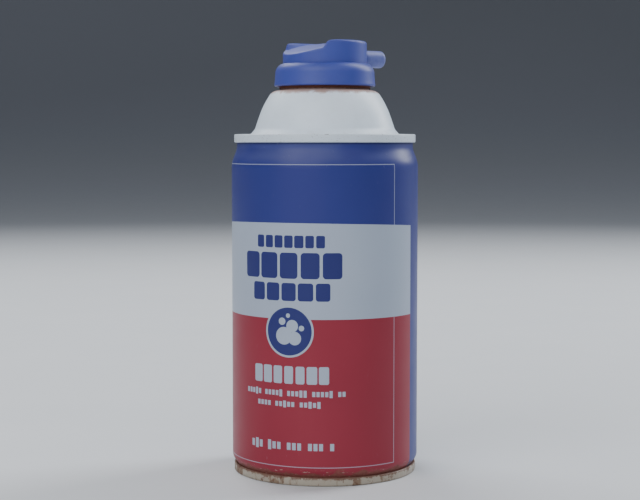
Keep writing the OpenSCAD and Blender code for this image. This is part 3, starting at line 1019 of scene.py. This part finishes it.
def button_distance(x, y, z):
    """Distance to the button: a hollow dished drum with a spout, and a boss that takes the stem."""
    u, v = along_spout(x, y)
    r = np.hypot(x, y)
    drum = rounded_rod(z, r, BUTTON_LOW, RIM_Z, DRUM_R, 0.9)
    drum = np.maximum(drum, DRUM_LOW - z)
    dish = np.maximum(-above_dish(u, v, z), np.abs(v) - DISH_HALF)
    dish = np.maximum(dish, u - DISH_END)
    shallow = np.clip((RIM_Z - dish_height(u, 0)) / 0.6, 0, 1)
    solid = cut_soft(drum, dish, 0.05 + 0.5 * shallow)

    ceiling = np.maximum(above_dish(u, 0, z) + SHELL_T, z - (RIM_Z - SHELL_T))
    hollow = -join_soft(-(r - (DRUM_R - SHELL_T)), -ceiling, 0.8)
    solid = cut_soft(solid, hollow, 0.3)
    boss = np.maximum(r - BOSS_R, above_dish(u, 0, z) + SHELL_T / 2)
    boss = np.maximum(boss, BUTTON_LOW - z)
    solid = join_soft(solid, boss, 0.8)

    rod = rounded_rod(u, np.hypot(v, z - SPOUT_Z), 0, SPOUT_REACH, SPOUT_R, 1.1)
    rod = np.maximum(rod, -u)
    solid = join_soft(solid, rod, 1.3)
    stem_hole = np.maximum(r - STEM_HOLE_R, z - STEM_TOP - 0.02)
    passage = np.maximum(r - PASSAGE_R, z - SPOUT_Z)
    bore = np.maximum(np.hypot(v, z - SPOUT_Z) - BORE_R, -u)
    return cut_soft(solid, np.minimum(np.minimum(stem_hole, passage), bore), 0.3)


def collar_outline():
    """Section of the collar: its skirt, rounded shoulder, guide for the drum, and snap bead."""
    web_top = WEB_Z + 1.15
    low = CURL_Z - 0.9
    skirt_in, skirt_out = CUP_R + 0.33, 17.5
    snap_out = CURL_R - CUP_CURL_R - 0.14 - 0.08
    snap_in = snap_out - 1.1
    snap_low = CURL_Z - 1.2 - 2.1
    shoulder, shoulder_r = (13.8, SEAM_TOP + 21.3), 3.6
    return [
        (skirt_in, low), (skirt_out, low), (skirt_out + 0.25, low + 0.25),
        (skirt_out + 0.1, low + 1.5), (skirt_out, low + 2.8),
        *arc(shoulder, shoulder_r, 0, 69, 16),
        (GUIDE_R, shoulder[1] + 3.2), (GUIDE_R, web_top), (snap_in, web_top),
        (snap_in, snap_low), (snap_out - 0.1, snap_low), (snap_out + 0.5, snap_low + 0.7),
        (snap_out + 0.5, snap_low + 0.95), (snap_out, snap_low + 1.7), (snap_out, WEB_Z),
        (skirt_in, WEB_Z),
    ]


def collar_distance(x, y, z):
    """Distance to the collar, with a notch for the spout and slots that let its snap fingers bend."""
    u, v = along_spout(x, y)
    r = np.hypot(x, y)
    ring = outline_distance(r, z, collar_outline()) - 0.12
    notch_r = SPOUT_R + 0.35
    notch_z = SPOUT_Z - PRESS
    notch = np.where(z < notch_z, np.hypot(v, z - notch_z), np.abs(v)) - notch_r
    notch = np.maximum(notch, (GUIDE_R - 2) - u)
    solid = cut_soft(ring, notch, 0.5)
    slot_top, slot_half = WEB_Z - 0.5, 1.0
    for k in range(3):
        a = SPOUT_TURN + math.radians(60 * k)
        aside = np.abs(y * math.cos(a) - x * math.sin(a)) - slot_half
        slot = np.maximum(np.maximum(aside, z - slot_top), r - (CURL_R + 0.1))
        solid = cut_soft(solid, slot, 0.2)
    return solid


def moulding(name, distance, node, body, material):
    """A moulded piece, made within the box of its CAD node."""
    low, high = (tuple(mm(c) for c in corner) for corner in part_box(node))
    points, faces = solid_from(distance, low, high, CELL)
    return new_piece(name, points, faces, material, body, 60)


def actuator():
    """The button and the collar, of one plastic."""
    blue = moulded_blue()
    button = moulding("foam_button", button_distance, "spout_button", "button", blue)
    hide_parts("spout_button")
    collar = moulding("snap_collar", collar_distance, "actuator_collar", "collar", blue)
    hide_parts("actuator_collar")


# ---- Inside ------------------------------------------------------------------------------------

def coil_spring():
    """Round wire in six turns, closer together at both ends."""
    wire, turns, sides, steps = 0.5, 6, 12, 40
    coil_r = SPRING_R - wire / 2
    low = SPRING_LOW + wire / 2
    rise = SPRING_TOP - wire / 2 - low
    rings = turns * steps
    points, faces = [], []
    for i in range(rings + 1):
        t = i / rings
        a = 2 * math.pi * turns * t
        z = low + rise * (t - 0.5 * math.sin(2 * math.pi * t) / math.pi)
        for k in range(sides):
            b = 2 * math.pi * k / sides
            r = coil_r + wire / 2 * math.cos(b)
            points.append((r * math.cos(a), r * math.sin(a), z + wire / 2 * math.sin(b)))
    for i in range(rings):
        for k in range(sides):
            m = (k + 1) % sides
            faces.append([i * sides + k, i * sides + m, (i + 1) * sides + m, (i + 1) * sides + k])
    faces.append(list(range(sides))[::-1])
    faces.append([rings * sides + k for k in range(sides)])
    spring = new_piece("coil_spring", points, faces, spring_wire(), "can")
    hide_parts("valve_spring")
    keep = 1 - PRESS / (SPRING_TOP - SPRING_LOW)
    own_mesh(spring)


def dress(node, material):
    """Gives a CAD node that stays its material."""
    piece = frame["nodes"][node]
    piece.data.materials.clear()
    piece.data.materials.append(material)


def inner_parts():
    """Finishes for the CAD nodes that stay as they are."""
    rubber = black_rubber("sealing_rubber", 38)
    for node in ("cup_gasket", "stem_gasket"):
        dress(node, rubber)
    compound = black_rubber("seam_compound", 58)
    for node in ("top_seam_compound", "bottom_seam_compound"):
        dress(node, compound)
    dress("mounting_cup", rusty_tinplate())
    moulding = natural_plastic("valve_plastic", srgb(232, 229, 218), srgb(214, 210, 196), 0.15)
    for node in ("valve_housing", "valve_stem"):
        dress(node, moulding)
    dress("dip_tube", natural_plastic("tube_plastic", srgb(224, 230, 230), srgb(206, 214, 216), 0.3))


# ---- The model ---------------------------------------------------------------------------------

make_camera()
make_studio()
can_shell()
dome_shell()
foot_shell()
actuator()
coil_spring()
inner_parts()
